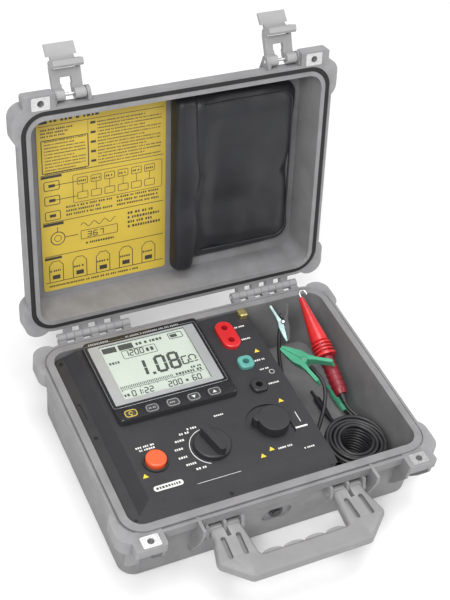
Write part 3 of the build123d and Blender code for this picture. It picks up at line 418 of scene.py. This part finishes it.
signs = [rect(-128, 107, -110, 116), rect(-107, 107, -88, 116)]
signs += stroke(rounded(-84, 98.8, 44, 13, 1.5), 0.8, closed=True)
signs += words(-75, 96, 12, 6, 3)
signs += words(-84, 109.5, 38, 4, 5)
signs += stroke(rounded(-31, 110.5, 18, 9, 1), 1.0, closed=True) + [rect(-38, 108, -29, 113)]
signs += number("G", -40, 62, 7.5, 12, 2.0, 10)
signs += stroke(arc(-25.5, 69.5, 4.4, -55, 235, 14), 1.8)
signs += [rect(-30.8, 62, -26.4, 63.8), rect(-24.6, 62, -20.2, 63.8)]
signs += [rect(-128 + 2.3 * i, 47.5, -127 + 2.3 * i, 51.5) for i in range(30)]
signs += stroke([(-128, 46), (-20, 46)], 0.7)
signs += [rect(-128 + 11.4 * i, 43.8, -127.2 + 11.4 * i, 46) for i in range(10)]
signs += words(-56, 47.5, 34, 3.6, 11) + words(-127, 88, 16, 3.6, 12) + words(-34, 52.8, 14, 3.2, 13)
signs += words(-128, 35, 8, 4, 14) + words(-48, 35, 6, 3.6, 15)
inlay("screen_signs", signs, SCREEN_INK, "segment_black", "case")

bezel_lines = stroke(rounded(-73.7, 72.25, 149, 104, 3), 0.35, closed=True)
bezel_lines += words(-141, 124.6, 26, 2.6, 21) + words(-92, 124.6, 72, 2.2, 22)
bezel_lines += stroke([(-141, 19.8), (-8, 19.8)], 0.35)
inlay("bezel_print", bezel_lines, ON_BEZEL, "ink_dim", "case", 0.06)


# ---------------------------------------------------------------- keys
def triangle(x, y, size, way):
    """A solid triangle that points up (1) or down (-1)."""
    return [(x - size, y - way * size * 0.75), (x + size, y - way * size * 0.75), (x, y + way * size * 0.85)]


for number_, (low, high) in enumerate([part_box(f"key_{i}") for i in range(1, 6)], 1):
    x, y = (low[0] + high[0]) / 2 / MM, (low[1] + high[1]) / 2 / MM
    ring_paint = "ink_yellow" if number_ == 1 else "ink_dim"
    ring = stroke(rounded(x, y, 14.2, 9.6, 3.4), 0.8, closed=True)
    if number_ == 1:
        ring += stroke(arc(x, y + 0.3, 2.3, 0, 300, 12), 0.7) + [rect(x - 1.3, y - 3.6, x + 1.3, y - 2.9)]
    inlay(f"key_{number_}_ring", ring, ON_KEYS, ring_paint, f"key_{number_}", 0.08)
    if number_ in (2, 3):
        inlay(f"key_{number_}_print", words(x - 4.6, y - 1.1, 9.6, 2.2, 30 + number_), ON_KEYS, "ink_dim",
              f"key_{number_}", 0.08)
    if number_ > 3:
        arrow = [triangle(x, y, 2.6, -1 if number_ == 4 else 1)]
        inlay(f"key_{number_}_arrow", arrow, ON_KEYS, "ink_white", f"key_{number_}", 0.08)

# ---------------------------------------------------------------- panel printing
KNOB = (-56.5, -60.5)
marks = stroke(arc(*KNOB, 26.5, 98, 244, 30), 0.9)
for i in range(7):
    angle = radians(100 + 22.5 * i)
    x, y = KNOB[0] + 32 * cos(angle), KNOB[1] + 32 * sin(angle)
    marks += words(x - 13, y - 1.3, 12.5, 2.8, 40 + i)
marks += words(-143, -37.5, 26, 2.5, 50) + words(-140, -42, 20, 2.5, 51)
marks += words(-36, -22, 12, 2.2, 52) + words(46, -101.5, 14, 2.2, 53)
marks += stroke([(60.5, -46), (60.5, -62)], 1.0) + [rect(50, -70.5, 66, -68)]
for i, y in enumerate((104.5, 82.7, 44.4, 4.3)):
    marks += words(50, y - 1.1, 14, 2.4, 60 + i)
marks += stroke(arc(63, 22, 3.2, 0, 360, 18), 0.6) + words(50, 28, 12, 2.2, 66)
marks += stroke([(-95, -106), (-40, -106)], 0.5) + words(16, -92, 20, 2.4, 67)
inlay("panel_print", marks, ON_PANEL, "ink_white", "case", 0.08)

inlay("panel_pill", [rounded(-127, -97, 36, 7.6, 3.4)], ON_PANEL, "ink_white", "case", 0.1)
pill_face = level(PANEL_TOP + 0.1 * MM)
inlay("panel_pill_print", words(-142, -98.6, 31, 3.2, 70), pill_face, "ink_dark", "case", 0.06)

hazards = [triangle(x, y, 3.6, 1) for x, y in ((-147, -76), (-6, -94), (8, -88), (60, 60), (52, -24))]
inlay("panel_triangles", hazards, ON_PANEL, "ink_yellow", "case", 0.08)

# ---------------------------------------------------------------- instruction label in the lid
# Across is the lid's X; up is towards its front edge, which is the top when it stands open.
LEFT, RIGHT, HIGH = -164.0, -6.0, 119.0
label = [rect(LEFT, HIGH - 9, LEFT + 11, HIGH - 1)] + words(LEFT + 14, HIGH - 8, 62, 5, 80)
label += stroke([(LEFT, HIGH - 12), (RIGHT, HIGH - 12)], 0.7)
for row in range(14):
    if row < 3:
        label += words(LEFT + 2, HIGH - 18 - 4.2 * row, 40 - 5 * row, 2.0, 90 + row)
    else:
        label += words(LEFT + 6, HIGH - 20.5 - 4.2 * row, 52 if row % 4 else 38, 1.6, 90 + row)
    label += words(-91, HIGH - 18 - 4.2 * row, 82 if row % 3 else 62, 1.7, 110 + row)
    if row % 3 == 0:
        label += [rect(-100, HIGH - 18.5 - 4.2 * row, -93.5, HIGH - 15.5 - 4.2 * row)]
label += stroke([(-103, HIGH - 14), (-103, HIGH - 72)], 0.5)
label += stroke(rounded(-132.5, 67, 58, 43, 1), 1.1, closed=True)
label += stroke([(LEFT, 43), (RIGHT, 43)], 0.9)
# connection diagram: the instrument between boxes, joined by wires
for i in range(6):
    x = -112 + 17.5 * i
    label += stroke(rounded(x, 28, 13, 9, 1), 0.8, closed=True) + words(x - 5, 26.6, 10, 2.4, 130 + i)
    label += stroke(rounded(x, 8, 13, 9, 1), 0.8, closed=True) + stroke([(x, 23.5), (x, 12.5)], 0.7)
label += stroke([(-150, 28), (-118, 28)], 0.9) + stroke([(-150, 8), (-118, 8)], 0.9)
for y in (28, 8, -13):
    label += stroke(rounded(-151, y, 19, 12, 2), 1.0, closed=True) + [rect(-155, y - 2, -147, y + 2)]
label += stroke(rounded(-66, 18, 116, 38, 2), 0.7, closed=True)
for row in range(3):
    label += words(-134, -6 - 5.4 * row, 60 if row != 1 else 44, 2.6, 140 + row)
    label += words(-68, -6 - 5.4 * row, 56, 2.6, 145 + row)
label += stroke([(LEFT, -22), (RIGHT, -22)], 0.9)
# a round terminal diagram beside wave shapes and figures
label += stroke(arc(-146, -46, 9, 0, 360, 28), 1.2) + stroke(arc(-146, -46, 4.4, 0, 360, 20), 0.8)
label += stroke([(-137, -46), (-120, -46)], 1.0) + stroke([(-146, -37), (-146, -30)], 1.0)
wave = [(-116 + 2.0 * i, -34 + 3.0 * sin(i * 0.9)) for i in range(24)]
label += stroke(wave, 0.9) + stroke(rounded(-92, -48, 48, 12, 1), 0.8, closed=True)
label += number("367", -108, -52, 5, 7, 1.2, 8) + words(-110, -62, 40, 2.8, 150)
for row in range(4):
    label += words(-54, -32 - 6.4 * row, 44 if row % 2 else 34, 3.4, 155 + row)
label += stroke([(LEFT, -70), (RIGHT, -70)], 0.9)
# five jars of equal size in a row along the bottom
for i in range(5):
    x = -150 + 31 * i
    jar = [(x - 9, -108), (x - 9, -84), (x - 4, -78), (x + 4, -78), (x + 9, -84), (x + 9, -108)]
    label += stroke(jar, 1.0)
    label += [rect(x - 5, -104, x + 5, -98)] + words(x - 8, -93, 15, 2.6, 170 + i)
label += stroke([(LEFT, -108), (RIGHT, -108)], 1.0) + words(LEFT + 4, -115, 120, 2.6, 180)
inlay("label_print", label, ON_LABEL, "ink_dark", "lid", 0.08)
tabs = [rect(LEFT, 38.5, LEFT + 26, 42), rect(LEFT, -27, LEFT + 26, -23), rect(LEFT, -75, LEFT + 22, -71.5)]
inlay("label_tabs", tabs, ON_LABEL, "ink_dark", "lid", 0.07)


# ---------------------------------------------------------------- accessory pouch
LID_RIM, LID_FLOOR = 95.4, 139.4  # the shut lid's rim and inner face
LID_HALF_X, LID_HALF_Y = 186.3, 135.4  # half of the lid's opening at its rim
LID_CLEAR = 0.2  # air between the pouch and the inner face
LID_TAPER = 6.4  # how much narrower each side of the hollow is at the inner face
def bag_form(name, levels):
    """A closed mesh through rounded rectangles (x, y, width, height, corner, z) of the shut lid, in mm."""
    mesh = bpy.data.meshes.new(name)
    build = bmesh.new()
    rings = []
    for x, y, width, height, corner, z in levels:
        rings.append([build.verts.new(mm(*p, z)) for p in rounded(x, y, width, height, corner)])
    for a, b in zip(rings, rings[1:]):
        for i in range(len(a)):
            j = (i + 1) % len(a)
            build.faces.new((a[i], a[j], b[j], b[i]))
    build.faces.new(rings[-1])
    build.faces.new(list(reversed(rings[0])))
    bmesh.ops.recalc_face_normals(build, faces=build.faces)
    build.to_mesh(mesh)
    build.free()
    piece = bpy.data.objects.new(name, mesh)
    bpy.context.collection.objects.link(piece)
    return piece


def bake(piece):
    """Applies the modifiers of a piece by giving it the mesh that they make."""
    graph = bpy.context.evaluated_depsgraph_get()
    mesh = bpy.data.meshes.new_from_object(piece.evaluated_get(graph))
    piece.modifiers.clear()
    piece.data = mesh


def puff(piece, voxel, pressure, cap):
    """Remeshes a bag, lets its skin swell and crease under air pressure, and limits the movement."""
    remesh = piece.modifiers.new("remesh", "REMESH")
    remesh.mode = "VOXEL"
    remesh.voxel_size = voxel * MM
    bake(piece)
    start = [v.co.copy() for v in piece.data.vertices]
    cloth = piece.modifiers.new("cloth", "CLOTH")
    cloth.settings.quality = 4
    cloth.settings.mass = 0.25
    cloth.settings.use_pressure = True
    cloth.settings.uniform_pressure_force = pressure
    cloth.settings.effector_weights.gravity = 0.0
    cloth.point_cache.frame_start = 1
    cloth.point_cache.frame_end = 20
    for step in range(1, 21):
        bpy.context.scene.frame_set(step)
    bake(piece)
    bpy.context.scene.frame_set(1)
    for vertex, place in zip(piece.data.vertices, start):
        moved = vertex.co - place
        if moved.length > cap * MM:
            vertex.co = place + moved.normalized() * cap * MM


def creased(piece, shape):
    """Moves a bag's points in the shut lid by shape(x, y, z), in mm, smooths it and keeps it in the lid."""
    for vertex in piece.data.vertices:
        x, y, z = vertex.co / MM
        vertex.co += mm(*shape(x, y, z))
    soften = piece.modifiers.new("soften", "SMOOTH")
    soften.factor = 0.5
    soften.iterations = 3
    piece.modifiers.new("rounder", "SUBSURF").levels = 1
    bake(piece)
    for vertex in piece.data.vertices:
        x, y, z = vertex.co / MM
        inset = LID_TAPER * min(1.0, max(0.0, (z - LID_RIM) / (LID_FLOOR - LID_RIM)))
        across, along = LID_HALF_X - inset, LID_HALF_Y - inset
        vertex.co = mm(min(x, across), min(max(y, -along), along), min(z, LID_FLOOR - LID_CLEAR))
    for face in piece.data.polygons:
        face.use_smooth = True


def hump(x, centre, width):
    """A smooth bump of height 1."""
    return exp(-(((x - centre) / width) ** 2))


def bag_folds(x, y, z):
    """The bag's broad hollow, its low bulge and the small wrinkles of the vinyl."""
    front = smooth((136 - z) / 14)
    hollow = 6.5 * hump(x, 58 - 0.06 * y, 15) * hump(y, 18, 72) + 3.0 * hump(y, 30, 16) * hump(x, 100, 50)
    bulge = -2.2 * hump(x, 92, 34) * hump(y, -20, 34)
    small = 1.3 * noise.noise(Vector((x * 0.045, y * 0.016, 3.0)))
    small += 0.5 * noise.noise(Vector((x * 0.1, y * 0.06, 9.0)))
    return (1.2 * noise.noise(Vector((x * 0.02, y * 0.03, z * 0.05))), 0.0, front * (hollow + bulge + small))


def flap_folds(x, y, z):
    """The rolled flap's waist, bent edge and wrinkles."""
    front = smooth((136 - z) / 14)
    waist = 3.0 * hump(y, 24, 26)
    small = 1.0 * noise.noise(Vector((x * 0.06, y * 0.035, 5.0)))
    edge = smooth((x - 14) / 20)
    spread = edge * (7.0 * hump(y, 8, 60) - 5.0 * hump(y, 118, 30) - 2.0 * hump(y, -120, 30))
    return (spread, 0.0, front * (waist + small))


bag = bag_form("pouch_bag", [(93, -3, 158, 240, 20, 138.6), (93, -4, 158, 238, 20, 134),
                             (92, -6, 144, 216, 18, 123), (91, -7, 130, 200, 15, 118.5)])
puff(bag, 4.5, 2.2, 6.0)
creased(bag, bag_folds)
flap = bag_form("pouch_flap", [(18, 0, 32, 244, 9, 138.6), (18, 0, 35, 246, 10, 128),
                               (17, 0, 29, 240, 9, 118), (16, -1, 20, 230, 7, 113.5)])
puff(flap, 3.5, 2.2, 3.0)
creased(flap, flap_folds)

skin = BVHTree.FromPolygons([v.co for v in bag.data.vertices], [p.vertices for p in bag.data.polygons])
rim = rounded(91, -7, 136, 206, 16)
piping = bpy.data.curves.new("pouch_piping", "CURVE")
piping.dimensions = "3D"
piping.bevel_depth = 1.3 * MM
piping.bevel_resolution = 3
spline = piping.splines.new("NURBS")
seam = [skin.find_nearest(mm(x, y, 116.0 + 0.02 * x))[0] - mm(0, 0, 0.6) for x, y in rim if x > 36]
seam = sorted(seam, key=lambda p: (p.y < -0.02, p.x if p.y > -0.02 else -p.x))
spline.points.add(len(seam) - 1)
for point, place in zip(spline.points, seam):
    point.co = (*place, 1.0)
spline.order_u = 3
spline.use_endpoint_u = True
welt = bpy.data.objects.new("pouch_piping", piping)
bpy.context.collection.objects.link(welt)

for piece in (bag, flap, welt):
    piece.data.transform(OPEN)
    finish_piece(piece, "pouch_vinyl", "lid")
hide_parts("pouch")

# ---------------------------------------------------------------- floor, lights and world
floor_mesh = bpy.data.meshes.new("floor")
floor_mesh.from_pydata([(-6, -6, 0), (6, -6, 0), (6, 6, 0), (-6, 6, 0)], [], [(0, 1, 2, 3)])
floor = bpy.data.objects.new("floor", floor_mesh)
floor_mesh.materials.append(material("floor_pale", (0.86, 0.86, 0.86), 0.7, tone=0.01, bump=0.0))
bpy.context.collection.objects.link(floor)


def area_light(name, place, aim, size, power):
    """A square soft light at place that shines towards aim."""
    lamp = bpy.data.lights.new(name, "AREA")
    lamp.size = size
    lamp.energy = power
    made = bpy.data.objects.new(name, lamp)
    made.location = place
    made.rotation_euler = (Vector(aim) - Vector(place)).to_track_quat("-Z", "Y").to_euler()
    bpy.context.collection.objects.link(made)


MIDDLE = (0.0, 0.05, 0.15)
area_light("key_light", (-1.2, -1.2, 2.0), MIDDLE, 0.9, 42)
area_light("fill_light", (1.6, -1.0, 1.3), MIDDLE, 1.4, 12)
area_light("top_light", (0.1, 0.2, 2.3), MIDDLE, 1.4, 26)
bpy.context.scene.view_settings.view_transform = "Standard"
world = bpy.data.worlds.new("studio")
world.use_nodes = True
world.node_tree.nodes["Background"].inputs["Color"].default_value = (1.0, 1.0, 1.0, 1.0)
world.node_tree.nodes["Background"].inputs["Strength"].default_value = 0.6
bpy.context.scene.world = world
